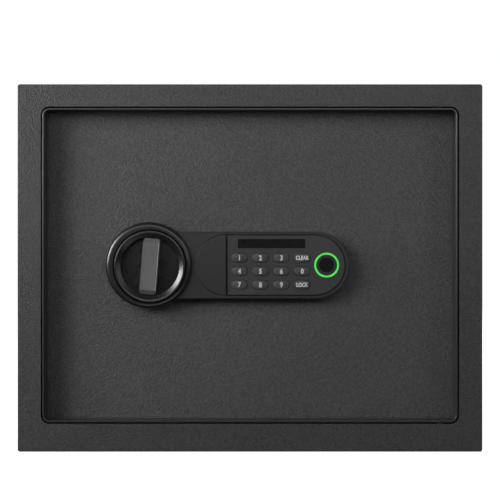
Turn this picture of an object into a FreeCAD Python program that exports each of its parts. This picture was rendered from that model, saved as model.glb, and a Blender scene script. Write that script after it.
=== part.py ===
import FreeCAD, Part
import math
import os

import Sketcher
from FreeCAD import Placement, Rotation, Vector

# Wall safe that sits between two wall studs, in millimetres.
# X runs to the right, Z up and Y into the wall. The origin is the middle of the wall flange,
# on its back face, so Y = 0 is the wall's surface.
# The door is closed and unlocked: its bolts are drawn back.

# Every driving dimension: the cell's name, its value and what it means.
DIMENSIONS = [
    ("flange_width", 392, "wall flange, across"),
    ("flange_height", 310, "wall flange, up"),
    ("flange_thickness", 2, "wall flange plate"),
    ("flange_corner", 2, "outer corner radius of the flange"),
    ("flange_round", 0.6, "rounding of the flange's front edge"),
    ("opening_width", 352.8, "door opening, across"),
    ("opening_height", 267.6, "door opening, up"),
    ("opening_corner", 7.2, "corner radius of the door opening"),
    ("middle", 2.4, "height of the opening's and the box's centre above the flange's"),
    ("shell_width", 366, "box in the wall, across: clears a 368 mm stud bay"),
    ("shell_height", 281, "box in the wall, up"),
    ("shell_depth", 98, "box in the wall, depth behind the wall's surface"),
    ("shell_steel", 2, "sheet of the box"),
    ("shell_corner", 4, "bend radius of the box"),
    ("shell_seat", 0.5, "depth of the flange's rebate that seats the box"),
    ("stud_hole_radius", 4.5, "holes for the screws into the studs"),
    ("stud_hole_depth", 75, "stud holes, behind the wall's surface"),
    ("stud_hole_pitch", 180, "spacing of the stud holes, up"),
    ("anchor_radius", 5, "holes for the wall anchors in the back"),
    ("anchor_across", 250, "spacing of the anchor holes, across"),
    ("anchor_up", 160, "spacing of the anchor holes, up"),
    ("door_gap", 1.2, "gap between the door and the opening"),
    ("rim_steel", 1.6, "folded edge of the door"),
    ("rim_round", 0.5, "rounding of the rim's front edge"),
    ("door_recess", 18, "depth of the door panel behind the rim's edge"),
    ("door_steel", 4, "door panel"),
    ("hinge_inset", 15, "hinge axis, in from the door's right edge"),
    ("hinge_depth", 3, "hinge axis, behind the wall's surface"),
    ("pin_radius", 2, "hinge pin"),
    ("pin_clearance", 0.05, "radial clearance of the hinge pin in its lug"),
    ("lug_width", 16, "hinge lug, across"),
    ("lug_depth", 8, "hinge lug, back from the wall's surface"),
    ("lug_gap", 0.4, "hinge lug, away from the edge of the opening"),
    ("case_front", 3, "face of the lock case, behind the wall's surface"),
    ("case_half_height", 28.3, "radius of the lock case's round end"),
    ("case_end", 55.9, "centre of the lock case's round end"),
    ("case_wall", 2.5, "side wall of the lock case"),
    ("case_face", 4, "front wall of the lock case"),
    ("case_round", 0.3, "rounding of the lock case's front edge"),
    ("case_lip", 0.6, "raised border of the lock case, proud of its face"),
    ("lip_flat", 0.5, "level part of the raised border"),
    ("lip_slope", 60, "inner side of a raised border, degrees from the wall's normal"),
    ("knob_place", -84.6, "centre of the knob, across"),
    ("knob_level", 1.4, "centre of the knob, up"),
    ("bezel_place", -85.6, "centre of the knob's bezel, across"),
    ("bezel_radius", 36.6, "round bezel of the knob"),
    ("bezel_stand", 4.5, "bezel's front edge, proud of the case's face"),
    ("bezel_round", 3.8, "rounding of the bezel's outer edge"),
    ("knob_radius", 30.5, "turning knob"),
    ("knob_gap", 0.9, "gap between the knob and its bezel"),
    ("knob_crest", 29, "radius of the knob's front crest"),
    ("crest_round", 0.8, "half the width of the rounded crest"),
    ("dish_lip", 25, "foot of the knob's sloping ring"),
    ("lip_drop", 1.9, "fall of the sloping ring, from the crest back"),
    ("dish_radius", 24.3, "upright wall of the dish in the knob"),
    ("dish_floor", 5.5, "floor of the dish, behind the wall's surface"),
    ("knob_front", -2.6, "knob's crest, in front of the wall's surface"),
    ("knob_back", 7.5, "back of the knob, behind the wall's surface"),
    ("pocket_floor", 9, "floor of the knob's pocket, behind the wall's surface"),
    ("grip_width", 14, "bar grip, across"),
    ("grip_length", 47.2, "bar grip, end to end"),
    ("grip_slope", 3.8, "length of the sloping end of the grip"),
    ("grip_drop", 3, "fall of the sloping end of the grip"),
    ("grip_corner", 2.5, "corner radius of the grip, seen from the front"),
    ("grip_bevel", 0.5, "bevel along the grip's long edges"),
    ("grip_channel", 0.25, "depth of the channel along the grip's front"),
    ("grip_front", -3.2, "front of the bar grip"),
    ("grip_tilt", 4.8, "lean of the bar grip, degrees"),
    ("spindle_radius", 5, "knob's spindle"),
    ("cam_front", 24, "front of the drive cam"),
    ("cam_steel", 4, "thickness of the drive cam"),
    ("crank_radius", 11, "drive pin, from the spindle"),
    ("crank_pin_radius", 3, "drive pin"),
    ("crank_angle", 45, "drive pin's angle above the right, degrees"),
    ("recess_radius", 26.2, "round ends of the recess in the case's face"),
    ("cover_radius", 25.6, "round end of the emergency cover"),
    ("cover_edge", -20.3, "straight edge of the emergency cover"),
    ("cover_centre", -20, "centre of the emergency cover's round end"),
    ("cover_hinge", -22.3, "hinge axis of the emergency cover, across"),
    ("cover_hinge_depth", 4.6, "hinge axis of the emergency cover, behind the wall's surface"),
    ("cover_pin", 0.9, "pintle of the emergency cover"),
    ("well_floor", 12, "floor of the keyhole's well"),
    ("face_left", -18.6, "left edge of the keypad faceplate"),
    ("face_centre", 55, "centre of the faceplate's round end"),
    ("face_radius", 25.2, "round end of the faceplate"),
    ("face_thickness", 2, "faceplate"),
    ("face_stand", 0.2, "faceplate, proud of the case's face"),
    ("face_lip", 0.25, "raised border of the faceplate"),
    ("face_bevel", 0.2, "bevel round the faceplate"),
    ("cover_round", 0.3, "rounding of the emergency cover"),
    ("display_left", -10.3, "display window, left edge"),
    ("display_right", 47, "display window, right edge"),
    ("display_low", 16.7, "display window, lower edge"),
    ("display_high", 24.5, "display window, upper edge"),
    ("key_width", 13.5, "key cap, across"),
    ("key_height", 7.4, "key cap, up"),
    ("key_gap", 0.35, "gap round a key cap"),
    ("key_stand", 1.2, "key cap, proud of the faceplate"),
    ("key_travel", 0.8, "travel of a key"),
    ("key_dome", 26, "radius of a key cap's domed face"),
    ("key_round", 0.35, "rounding of a key cap's edge"),
    ("key_left", -8.9, "first column of keys"),
    ("key_pitch", 17.73, "spacing of the columns"),
    ("key_top", 8.6, "top row of keys"),
    ("row_pitch", 11.4, "spacing of the rows"),
    ("sensor_place", 64.9, "centre of the fingerprint sensor, across"),
    ("ring_radius", 10.5, "light ring, outside"),
    ("bezel_inner", 8.9, "light ring, inside"),
    ("glass_radius", 6.35, "sensor's window"),
    ("board_front", 9.5, "front of the keypad board"),
    ("board_thickness", 1.6, "circuit boards"),
    ("lock_place", -33, "centre of the key cylinder, across"),
    ("barrel_radius", 9.5, "key cylinder"),
    ("plug_radius", 5.9, "turning plug of the key cylinder"),
    ("lever_length", 20.4, "release lever, from the plug's axis"),
    ("bolt_radius", 7, "locking bolt"),
    ("bolt_pitch", 80, "spacing of the locking bolts"),
    ("bolt_depth", 38, "axis of the bolts, behind the wall's surface"),
    ("bolt_tip", -164.5, "end of a drawn-back bolt"),
    ("bolt_throw", 15.556, "travel of the bolts: crank radius times the square root of two"),
    ("carriage_front", 30, "front of the bolt carriage"),
    ("carriage_steel", 3, "bolt carriage"),
    ("carriage_left", -132, "left face of the bolt carriage"),
    ("carriage_right", -66, "right edge of the bolt carriage"),
    ("pan_left", -163, "boltwork cover, left"),
    ("pan_right", 150, "boltwork cover, right"),
    ("pan_half_height", 115, "boltwork cover, half its height"),
    ("pan_back", 51.5, "back of the boltwork cover"),
    ("pan_steel", 1.5, "boltwork cover's sheet"),
    ("plunger_radius", 3.5, "solenoid plunger"),
    ("plunger_depth", 34.5, "axis of the plunger, behind the wall's surface"),
    ("plunger_tip", 23.2, "end of the drawn-back plunger"),
    ("tray_left", 77, "battery tray, left"),
    ("tray_right", 139, "battery tray, right"),
    ("tray_low", -68, "battery tray, low end"),
    ("tray_high", -12, "battery tray, high end"),
    ("cell_radius", 7.1, "AA cell"),
    ("cell_length", 50, "AA cell"),
    ("shelf_front", 56, "front edge of the shelf"),
    ("shelf_back", 95, "back edge of the shelf"),
    ("shelf_steel", 1.5, "shelf"),
    ("case_screw_left", -51, "left screws of the lock case, across"),
    ("case_screw_rise", 20, "left screws of the lock case, above and below the middle"),
    ("end_screw_rise", 23, "right screws of the lock case, above and below the middle"),
    ("small_screw", 1.5, "shank radius of the lock case's screws"),
    ("sheet_screw", 1.6, "shank radius of the boltwork cover's screws"),
    ("screw_grip", 4.5, "depth of a screw in the lock case"),
    ("bush_wall", 3, "bush's wall in the door panel"),
    ("carriage_half_height", 95, "bolt carriage and guide bracket, half their height"),
    ("arm_left", -84, "bolt carriage, right edge of its upright part"),
    ("stud_rise", 50, "carriage studs, above and below the middle"),
    ("spigot_radius", 4, "spigot of a bolt"),
    ("tray_depth", 19, "battery tray, depth in front of the boltwork cover's back sheet"),
    ("tray_wall", 1.5, "walls and floor of the battery tray"),
    ("tray_lip", 3, "battery tray's rails, around it and behind the cover"),
]

# Clearances, in millimetres: how far a cut runs past what it cuts, and a loose fit of sheet parts.
OVERRUN = 1
LOOSE = 0.3

doc = FreeCAD.newDocument("wall_safe")


class Size:
    """A length worked out from the sheet: its value now and the expression that keeps it bound."""

    def __init__(self, number, text):
        self.number = number
        self.text = text

    def joined(self, other, sign, turned=False):
        other = as_size(other)
        left, right = (other, self) if turned else (self, other)
        numbers = {
            "+": lambda: left.number + right.number,
            "-": lambda: left.number - right.number,
            "*": lambda: left.number * right.number,
            "/": lambda: left.number / right.number,
        }
        return Size(numbers[sign](), f"({left.text} {sign} {right.text})")

    def __add__(self, other):
        return self.joined(other, "+")

    def __radd__(self, other):
        return self.joined(other, "+", True)

    def __sub__(self, other):
        return self.joined(other, "-")

    def __rsub__(self, other):
        return self.joined(other, "-", True)

    def __mul__(self, other):
        return self.joined(other, "*")

    def __rmul__(self, other):
        return self.joined(other, "*", True)

    def __truediv__(self, other):
        return self.joined(other, "/")

    def __neg__(self):
        return self * -1


def as_size(value):
    return value if isinstance(value, Size) else Size(float(value), repr(float(value)))


def make_sheet():
    """Fill the sheet and give back its cells as named sizes."""
    sheet = doc.addObject("Spreadsheet::Sheet", "Dimensions")
    cells = {}
    for row, (alias, value, note) in enumerate(DIMENSIONS, start=1):
        sheet.set(f"A{row}", alias)
        sheet.set(f"B{row}", str(value))
        sheet.set(f"C{row}", note)
        sheet.setAlias(f"B{row}", alias)
        cells[alias] = Size(float(value), f"Dimensions.{alias}")
    doc.recompute()
    return cells


class Cells:
    """The sheet's cells as attributes."""

    def __init__(self, cells):
        self.__dict__.update(cells)


d = Cells(make_sheet())

# Levels and centres that several pieces share.
opening_left = -d.opening_width / 2
opening_top = d.middle + d.opening_height / 2
opening_foot = d.middle - d.opening_height / 2
door_half_width = d.opening_width / 2 - d.door_gap
door_top = opening_top - d.door_gap
door_foot = opening_foot + d.door_gap
rim_front = -d.flange_thickness
panel_front = rim_front + d.door_recess
panel_back = panel_front + d.door_steel
hinge_place = door_half_width - d.hinge_inset
shell_inside = d.shell_width / 2 - d.shell_steel
shell_top = d.middle + d.shell_height / 2
shell_foot = d.middle - d.shell_height / 2
panel_depth = d.shell_depth - d.shell_steel
face_front = d.case_front - d.face_stand
face_back = face_front + d.face_thickness
lip_front = d.case_front - d.case_lip
face_lip_front = face_front - d.face_lip
bezel_front = d.case_front - d.bezel_stand
key_front = face_front - d.key_stand
bolt_heights = {
    "lower": d.middle - d.bolt_pitch,
    "middle": d.middle + 0,
    "upper": d.middle + d.bolt_pitch,
}
cam_back = d.cam_front + d.cam_steel
carriage_back = d.carriage_front + d.carriage_steel

# Sketch planes: the body's own plane, and the sign of its normal along the axis the piece grows on.
PLANES = {"front": ("XZ_Plane", -1), "top": ("XY_Plane", 1), "side": ("YZ_Plane", 1)}

knob_centre = (d.knob_place, d.knob_level)

pieces = []


def bind(item, name, value):
    item.setExpression(name, as_size(value).text)


def new_body(label):
    body = doc.addObject("PartDesign::Body", label)
    body.Label = label
    pieces.append(body)
    return body


def new_sketch(body, plane, level, centre=(0, 0)):
    """An empty sketch on one of the body's planes, at a level, with its own origin at a centre."""
    role, sign = PLANES[plane]
    sketch = body.newObject("Sketcher::SketchObject", body.Label + "_sketch")
    origin_plane = [item for item in body.Origin.OriginFeatures if item.Role == role][0]
    sketch.AttachmentSupport = [(origin_plane, "")]
    sketch.MapMode = "FlatFace"
    bind(sketch, "AttachmentOffset.Base.x", centre[0])
    bind(sketch, "AttachmentOffset.Base.y", centre[1])
    bind(sketch, "AttachmentOffset.Base.z", as_size(level) * sign)
    return sketch


def fix(sketch, kind, places, value):
    """Add a dimension to a sketch and bind it to the sheet."""
    value = as_size(value)
    index = sketch.addConstraint(Sketcher.Constraint(kind, *places, value.number))
    sketch.setExpression(f"Constraints[{index}]", value.text)


def fix_point(sketch, line, end, across, up):
    fix(sketch, "DistanceX", (-1, 1, line, end), across)
    fix(sketch, "DistanceY", (-1, 1, line, end), up)


def circle(across, up, radius):
    """A round outline."""

    def draw(sketch):
        x, y, r = (as_size(value) for value in (across, up, radius))
        curve = Part.Circle(Vector(x.number, y.number, 0), Vector(0, 0, 1), r.number)
        index = sketch.addGeometry(curve)
        fix_point(sketch, index, 3, x, y)
        fix(sketch, "Radius", (index,), r)

    return draw


def polygon(*points):
    """A closed outline of straight lines through the points."""

    def draw(sketch):
        corners = [(as_size(x), as_size(y)) for x, y in points]
        first = sketch.GeometryCount
        for (x0, y0), (x1, y1) in zip(corners, corners[1:] + corners[:1]):
            start, end = Vector(x0.number, y0.number, 0), Vector(x1.number, y1.number, 0)
            sketch.addGeometry(Part.LineSegment(start, end))
        for step, (x, y) in enumerate(corners):
            following = first + (step + 1) % len(corners)
            sketch.addConstraint(Sketcher.Constraint("Coincident", first + step, 2, following, 1))
            fix_point(sketch, first + step, 1, x, y)

    return draw


def box(left, low, right, high):
    return polygon((left, low), (right, low), (right, high), (left, high))


def rounded_box(left, low, right, high, corner):
    """A box outline with four equal round corners."""

    def draw(sketch):
        sides = [as_size(value) for value in (left, low, right, high, corner)]
        x0, y0, x1, y1, r = (side.number for side in sides)
        centres = [(x1 - r, y0 + r), (x1 - r, y1 - r), (x0 + r, y1 - r), (x0 + r, y0 + r)]
        first = sketch.GeometryCount
        lines = [
            ((x0 + r, y0), (x1 - r, y0)),
            ((x1, y0 + r), (x1, y1 - r)),
            ((x1 - r, y1), (x0 + r, y1)),
            ((x0, y1 - r), (x0, y0 + r)),
        ]
        for turn, (line, centre) in enumerate(zip(lines, centres)):
            sketch.addGeometry(Part.LineSegment(Vector(*line[0], 0), Vector(*line[1], 0)))
            start = (turn - 1) * math.pi / 2
            round_corner = Part.Circle(Vector(*centre, 0), Vector(0, 0, 1), r)
            sketch.addGeometry(Part.ArcOfCircle(round_corner, start, start + math.pi / 2))
        for turn in range(4):
            line, arc, following = first + 2 * turn, first + 2 * turn + 1, first + (2 * turn + 2) % 8
            sketch.addConstraint(Sketcher.Constraint("Tangent", line, 2, arc, 1))
            sketch.addConstraint(Sketcher.Constraint("Tangent", arc, 2, following, 1))
            sketch.addConstraint(Sketcher.Constraint("Vertical" if turn % 2 else "Horizontal", line))
            if turn:
                sketch.addConstraint(Sketcher.Constraint("Equal", first + 1, arc))
        fix(sketch, "DistanceY", (-1, 1, first, 1), sides[1])
        fix(sketch, "DistanceX", (-1, 1, first + 2, 1), sides[2])
        fix(sketch, "DistanceY", (-1, 1, first + 4, 1), sides[3])
        fix(sketch, "DistanceX", (-1, 1, first + 6, 1), sides[0])
        fix(sketch, "Radius", (first + 1,), sides[4])

    return draw


def slot(start, end, level, radius):
    """An outline with two round ends, its centres at start and end on one level."""

    def draw(sketch):
        x0, x1, y, r = (as_size(value) for value in (start, end, level, radius))
        first = sketch.GeometryCount
        half = math.pi / 2
        low, high = y.number - r.number, y.number + r.number
        sketch.addGeometry(Part.LineSegment(Vector(x0.number, low, 0), Vector(x1.number, low, 0)))
        right = Part.Circle(Vector(x1.number, y.number, 0), Vector(0, 0, 1), r.number)
        sketch.addGeometry(Part.ArcOfCircle(right, -half, half))
        sketch.addGeometry(Part.LineSegment(Vector(x1.number, high, 0), Vector(x0.number, high, 0)))
        left = Part.Circle(Vector(x0.number, y.number, 0), Vector(0, 0, 1), r.number)
        sketch.addGeometry(Part.ArcOfCircle(left, half, 3 * half))
        for step in range(4):
            following = first + (step + 1) % 4
            sketch.addConstraint(Sketcher.Constraint("Tangent", first + step, 2, following, 1))
        fix_point(sketch, first + 1, 3, x1, y)
        fix(sketch, "DistanceX", (-1, 1, first + 3, 3), x0)
        fix(sketch, "Radius", (first + 1,), r)
        sketch.addConstraint(Sketcher.Constraint("Horizontal", first))

    return draw


def round_end(edge, centre, level, radius, turned=1):
    """An outline with a straight upright edge and a round end, which is on the left where turned is -1."""

    def draw(sketch):
        x0, x1, y, r = (as_size(value) for value in (edge, centre, level, radius))
        first = sketch.GeometryCount
        half = math.pi / 2
        foot, top = y.number - turned * r.number, y.number + turned * r.number
        sketch.addGeometry(Part.LineSegment(Vector(x0.number, foot, 0), Vector(x1.number, foot, 0)))
        bend = Part.Circle(Vector(x1.number, y.number, 0), Vector(0, 0, 1), r.number)
        start = -half if turned > 0 else half
        sketch.addGeometry(Part.ArcOfCircle(bend, start, start + 2 * half))
        sketch.addGeometry(Part.LineSegment(Vector(x1.number, top, 0), Vector(x0.number, top, 0)))
        sketch.addGeometry(Part.LineSegment(Vector(x0.number, top, 0), Vector(x0.number, foot, 0)))
        sketch.addConstraint(Sketcher.Constraint("Tangent", first, 2, first + 1, 1))
        sketch.addConstraint(Sketcher.Constraint("Tangent", first + 1, 2, first + 2, 1))
        sketch.addConstraint(Sketcher.Constraint("Coincident", first + 2, 2, first + 3, 1))
        sketch.addConstraint(Sketcher.Constraint("Coincident", first + 3, 2, first, 1))
        sketch.addConstraint(Sketcher.Constraint("Horizontal", first))
        sketch.addConstraint(Sketcher.Constraint("Vertical", first + 3))
        fix_point(sketch, first + 1, 3, x1, y)
        fix(sketch, "DistanceX", (-1, 1, first, 1), x0)
        fix(sketch, "Radius", (first + 1,), r)

    return draw


def drawn(body, plane, level, outlines):
    sketch = new_sketch(body, plane, level)
    for outline in outlines:
        outline(sketch)
    return sketch


def pad(body, plane, start, end, *outlines):
    """Add material between two levels; an outline inside another is a hole."""
    feature = body.newObject("PartDesign::Pad", body.Label + "_pad")
    feature.Profile = drawn(body, plane, start, outlines)
    feature.Reversed = PLANES[plane][1] < 0
    bind(feature, "Length", as_size(end) - start)
    return body


def pocket(body, plane, start, end, *outlines, slope=0):
    """Cut material away between two levels; with a slope in degrees the hole narrows as it goes in."""
    doc.recompute()
    before = body.Shape.Volume
    feature = body.newObject("PartDesign::Pocket", body.Label + "_pocket")
    feature.Profile = drawn(body, plane, start, outlines)
    feature.Reversed = PLANES[plane][1] > 0
    bind(feature, "Length", as_size(end) - start)
    bind(feature, "TaperAngle", slope)
    doc.recompute()
    if body.Shape.Volume > before - 1e-6:
        raise RuntimeError(f"a pocket of {body.Label} cuts nothing")
    return body


def turned(body, centre, level, points):
    """A solid of revolution about the line along Y at a centre; each point is a radius and a depth."""
    sketch = new_sketch(body, "top", level, (centre, 0))
    polygon(*points)(sketch)
    feature = body.newObject("PartDesign::Revolution", body.Label + "_turned")
    feature.Profile = sketch
    feature.ReferenceAxis = (sketch, ["V_Axis"])
    feature.Angle = 360
    return body


def dress(body, kind, size, wanted):
    """Round or bevel the edges that the test wanted accepts."""
    doc.recompute()
    last = body.Tip
    names = [f"Edge{i}" for i, edge in enumerate(last.Shape.Edges, start=1) if wanted(edge)]
    feature = body.newObject(f"PartDesign::{kind}", body.Label + "_edge")
    feature.Base = (last, names)
    bind(feature, "Radius" if kind == "Fillet" else "Size", size)
    return body


def on_level(edge, level, axis="Y"):
    """True where the whole edge lies at one level of an axis."""
    limits = edge.BoundBox
    low, high = getattr(limits, axis + "Min"), getattr(limits, axis + "Max")
    level = as_size(level).number
    return abs(low - level) < 1e-3 and abs(high - level) < 1e-3


def rod(name, radius, centre, start, end):
    """A Part cylinder along Y between two depths, bound to the sheet."""
    cylinder = doc.addObject("Part::Cylinder", name)
    bind(cylinder, "Radius", radius)
    bind(cylinder, "Height", as_size(end) - start)
    cylinder.Placement = Placement(Vector(), Rotation(Vector(1, 0, 0), -90))
    bind(cylinder, "Placement.Base.x", centre[0])
    bind(cylinder, "Placement.Base.y", start)
    bind(cylinder, "Placement.Base.z", centre[1])
    return cylinder


def post(name, radius, centre, start, end):
    """A Part cylinder along Z between two heights, bound to the sheet."""
    cylinder = doc.addObject("Part::Cylinder", name)
    bind(cylinder, "Radius", radius)
    bind(cylinder, "Height", as_size(end) - start)
    bind(cylinder, "Placement.Base.x", centre[0])
    bind(cylinder, "Placement.Base.y", centre[1])
    bind(cylinder, "Placement.Base.z", start)
    return cylinder


def block(name, low, high):
    """A Part box between two corners, bound to the sheet."""
    solid = doc.addObject("Part::Box", name)
    for side, axis, start, end in zip(("Length", "Width", "Height"), "xyz", low, high):
        bind(solid, side, as_size(end) - start)
        bind(solid, f"Placement.Base.{axis}", start)
    return solid


def joined(label, *solids):
    """One piece made of touching Part solids."""
    whole = doc.addObject("Part::MultiFuse", label)
    whole.Shapes = list(solids)
    whole.Refine = True
    whole.Label = label
    pieces.append(whole)
    return whole


def group(label, *solids):
    """Like pieces that share a node as separate solids."""
    whole = doc.addObject("Part::Compound", label)
    whole.Links = list(solids)
    whole.Label = label
    pieces.append(whole)
    return whole


def cut(label, base, tool):
    """A Part solid with another taken out of it."""
    result = doc.addObject("Part::Cut", label)
    result.Base = base
    result.Tool = tool
    return result


def finished(item, label):
    item.Label = label
    pieces.append(item)
    return item


# ---------------------------------------------------------------- housing


def front_flange():
    half_width, half_height = d.flange_width / 2, d.flange_height / 2
    body = new_body("front_flange")
    outline = rounded_box(-half_width, -half_height, half_width, half_height, d.flange_corner)
    opening = rounded_box(opening_left, opening_foot, -opening_left, opening_top, d.opening_corner)
    pad(body, "front", -d.flange_thickness, 0, outline, opening)
    seat = rounded_box(-d.shell_width / 2, shell_foot, d.shell_width / 2, shell_top, d.shell_corner)
    pocket(body, "front", -d.shell_seat, 0, seat)
    limit = half_width.number - 2 * d.flange_corner.number

    def outer_front(edge):
        middle = edge.CenterOfMass
        outside = abs(middle.x) > limit or abs(middle.z) > half_height.number - 1
        return on_level(edge, -d.flange_thickness) and outside

    dress(body, "Fillet", d.flange_round, outer_front)


def safe_shell():
    body = new_body("safe_shell")
    half = d.shell_width / 2
    inner_corner = d.shell_corner - d.shell_steel
    outside = rounded_box(-half, shell_foot, half, shell_top, d.shell_corner)
    inside = rounded_box(
        -shell_inside, shell_foot + d.shell_steel, shell_inside, shell_top - d.shell_steel, inner_corner
    )
    pad(body, "front", -d.shell_seat, panel_depth, outside, inside)
    heights = [d.middle + side * d.stud_hole_pitch / 2 for side in (-1, 1)]
    for wall in (-half, half - d.shell_steel):
        holes = [circle(d.stud_hole_depth, height, d.stud_hole_radius) for height in heights]
        pocket(body, "side", wall, wall + d.shell_steel, *holes)


def back_panel():
    body = new_body("back_panel")
    half = d.shell_width / 2
    outline = rounded_box(-half, shell_foot, half, shell_top, d.shell_corner)
    holes = [
        circle(side * d.anchor_across / 2, d.middle + up * d.anchor_up / 2, d.anchor_radius)
        for side in (-1, 1)
        for up in (-1, 1)
    ]
    pad(body, "front", panel_depth, d.shell_depth, outline, *holes)


def bolt_strike():
    """Angle on the left wall: its web stops the door and its leg takes the bolts."""
    strike_inside, leg_steel, half_height, bolt_clearance = -168.5, 2.5, 110, 0.6
    web, front, back = 2, panel_back + 0.5, 52
    low, high = d.middle - half_height, d.middle + half_height
    body = new_body("bolt_strike")
    pad(body, "front", front, front + web, box(-shell_inside, low, strike_inside, high))
    leg = box(front, low, back, high)
    pad(body, "side", strike_inside - leg_steel, strike_inside, leg)
    radius = d.bolt_radius + bolt_clearance
    holes = [circle(d.bolt_depth, height, radius) for height in bolt_heights.values()]
    pocket(body, "side", strike_inside - leg_steel, strike_inside, *holes)


def door_stops():
    """Strips above and below that the door's rim closes against."""
    left, right, reach, steel = -168, 140, 4.4, 2
    front = panel_back + LOOSE
    back = front + steel
    top = block("top_stop", (left, front, door_top - reach), (right, back, shell_top - d.shell_steel))
    foot = block("foot_stop", (left, front, shell_foot + d.shell_steel), (right, back, door_foot + reach))
    group("door_stops", top, foot)


def hinge_lugs():
    """A bored lug above the opening and one below it, welded inside the box."""
    axis = (hinge_place, d.hinge_depth)
    left, right = hinge_place - d.lug_width / 2, hinge_place + d.lug_width / 2
    spans = {
        "upper": (opening_top + d.lug_gap, shell_top - d.shell_steel),
        "lower": (shell_foot + d.shell_steel, opening_foot - d.lug_gap),
    }
    lugs = []
    for name, (low, high) in spans.items():
        lug = block(name + "_lug_plate", (left, -d.shell_seat, low), (right, d.lug_depth, high))
        radius = d.pin_radius + d.pin_clearance
        bore = post(name + "_lug_bore", radius, axis, low - OVERRUN, high + OVERRUN)
        lugs.append(cut(name + "_lug", lug, bore))
    group("hinge_lugs", *lugs)


def shelf():
    side_gap = 0.5
    half = d.shelf_steel / 2
    low, high = d.middle - half, d.middle + half
    lip = 6
    body = new_body("shelf")
    edge = shell_inside - side_gap
    section = polygon(
        (d.shelf_front, low - lip),
        (d.shelf_front + d.shelf_steel, low - lip),
        (d.shelf_front + d.shelf_steel, low),
        (d.shelf_back, low),
        (d.shelf_back, high),
        (d.shelf_front, high),
    )
    pad(body, "side", -edge, edge, section)


def shelf_brackets():
    """Two strips on the side walls that carry the shelf."""
    width, steel, front_inset, back_inset = 10, 2, 4, 3
    top = d.middle - d.shelf_steel / 2
    front, back = d.shelf_front + front_inset, d.shelf_back - back_inset
    strips = []
    places = {"left": (-shell_inside, width - shell_inside), "right": (shell_inside - width, shell_inside)}
    for name, (start, end) in places.items():
        strips.append(block(name + "_bracket", (start, front, top - steel), (end, back, top)))
    group("shelf_brackets", *strips)


# ---------------------------------------------------------------- door


def door_rim():
    body = new_body("door_rim")
    outer_corner = d.opening_corner - d.door_gap
    outside = rounded_box(-door_half_width, door_foot, door_half_width, door_top, outer_corner)
    inside = rounded_box(
        d.rim_steel - door_half_width,
        door_foot + d.rim_steel,
        door_half_width - d.rim_steel,
        door_top - d.rim_steel,
        outer_corner - d.rim_steel,
    )
    pad(body, "front", rim_front, panel_back, outside, inside)
    for wall in (door_top - d.rim_steel, door_foot):
        pocket(body, "top", wall, wall + d.rim_steel, circle(hinge_place, d.hinge_depth, d.pin_radius))
    dress(body, "Fillet", d.rim_round, lambda edge: on_level(edge, rim_front))


PAN_SCREW_GRIP = 3


def screw_places():
    """Centres of the four screws that hold the lock case."""
    rises = {d.case_screw_left: d.case_screw_rise, d.case_end: d.end_screw_rise}
    return [(x, d.middle + side * rise) for x, rise in rises.items() for side in (-1, 1)]


def door_plate():
    body = new_body("door_plate")
    half = door_half_width - d.rim_steel
    corner = d.opening_corner - d.door_gap - d.rim_steel
    outline = rounded_box(-half, door_foot + d.rim_steel, half, door_top - d.rim_steel, corner)
    holes = [circle(*knob_centre, d.spindle_radius + d.bush_wall)]
    holes.append(circle(d.lock_place, d.middle, d.barrel_radius))
    holes += [circle(x, z, d.small_screw) for x, z in screw_places()]
    lead_left, lead_right, lead_radius = 10, 18, 4
    holes.append(slot(lead_left, lead_right, d.middle, lead_radius))
    pad(body, "front", panel_front, panel_back, outline, *holes)
    flange_holes = [circle(x, z, d.sheet_screw) for x, z in pan_screw_places()]
    pocket(body, "front", panel_back - PAN_SCREW_GRIP, panel_back, *flange_holes)


def hinge_pins():
    """A pin at the top and one at the bottom of the rim, each welded through it."""
    reach = 7
    axis = (hinge_place, d.hinge_depth)
    top = post("upper_pin", d.pin_radius, axis, door_top - d.rim_steel, door_top + reach - d.rim_steel)
    foot = post("lower_pin", d.pin_radius, axis, door_foot + d.rim_steel - reach, door_foot + d.rim_steel)
    group("hinge_pins", top, foot)


def hinge_washer():
    ring_width, play = 0.9, 0.1
    lug_top = opening_foot - d.lug_gap
    axis = (hinge_place, d.hinge_depth)
    disc = post("washer_disc", d.pin_radius + ring_width, axis, lug_top, door_foot - play)
    radius = d.pin_radius + d.pin_clearance
    bore = post("washer_bore", radius, axis, lug_top - OVERRUN, door_foot + OVERRUN)
    finished(cut("hinge_washer", disc, bore), "hinge_washer")


# Hollow behind the keypad, walls of the keyhole's well and the hinge relief of its cover.
cavity_left = -17
well_right = -19.4
cavity_front = d.case_front + d.case_face
recess_floor = face_back
NOSE_WALL = 1.5
COVER_PIN_REACH = 27.2


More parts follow.
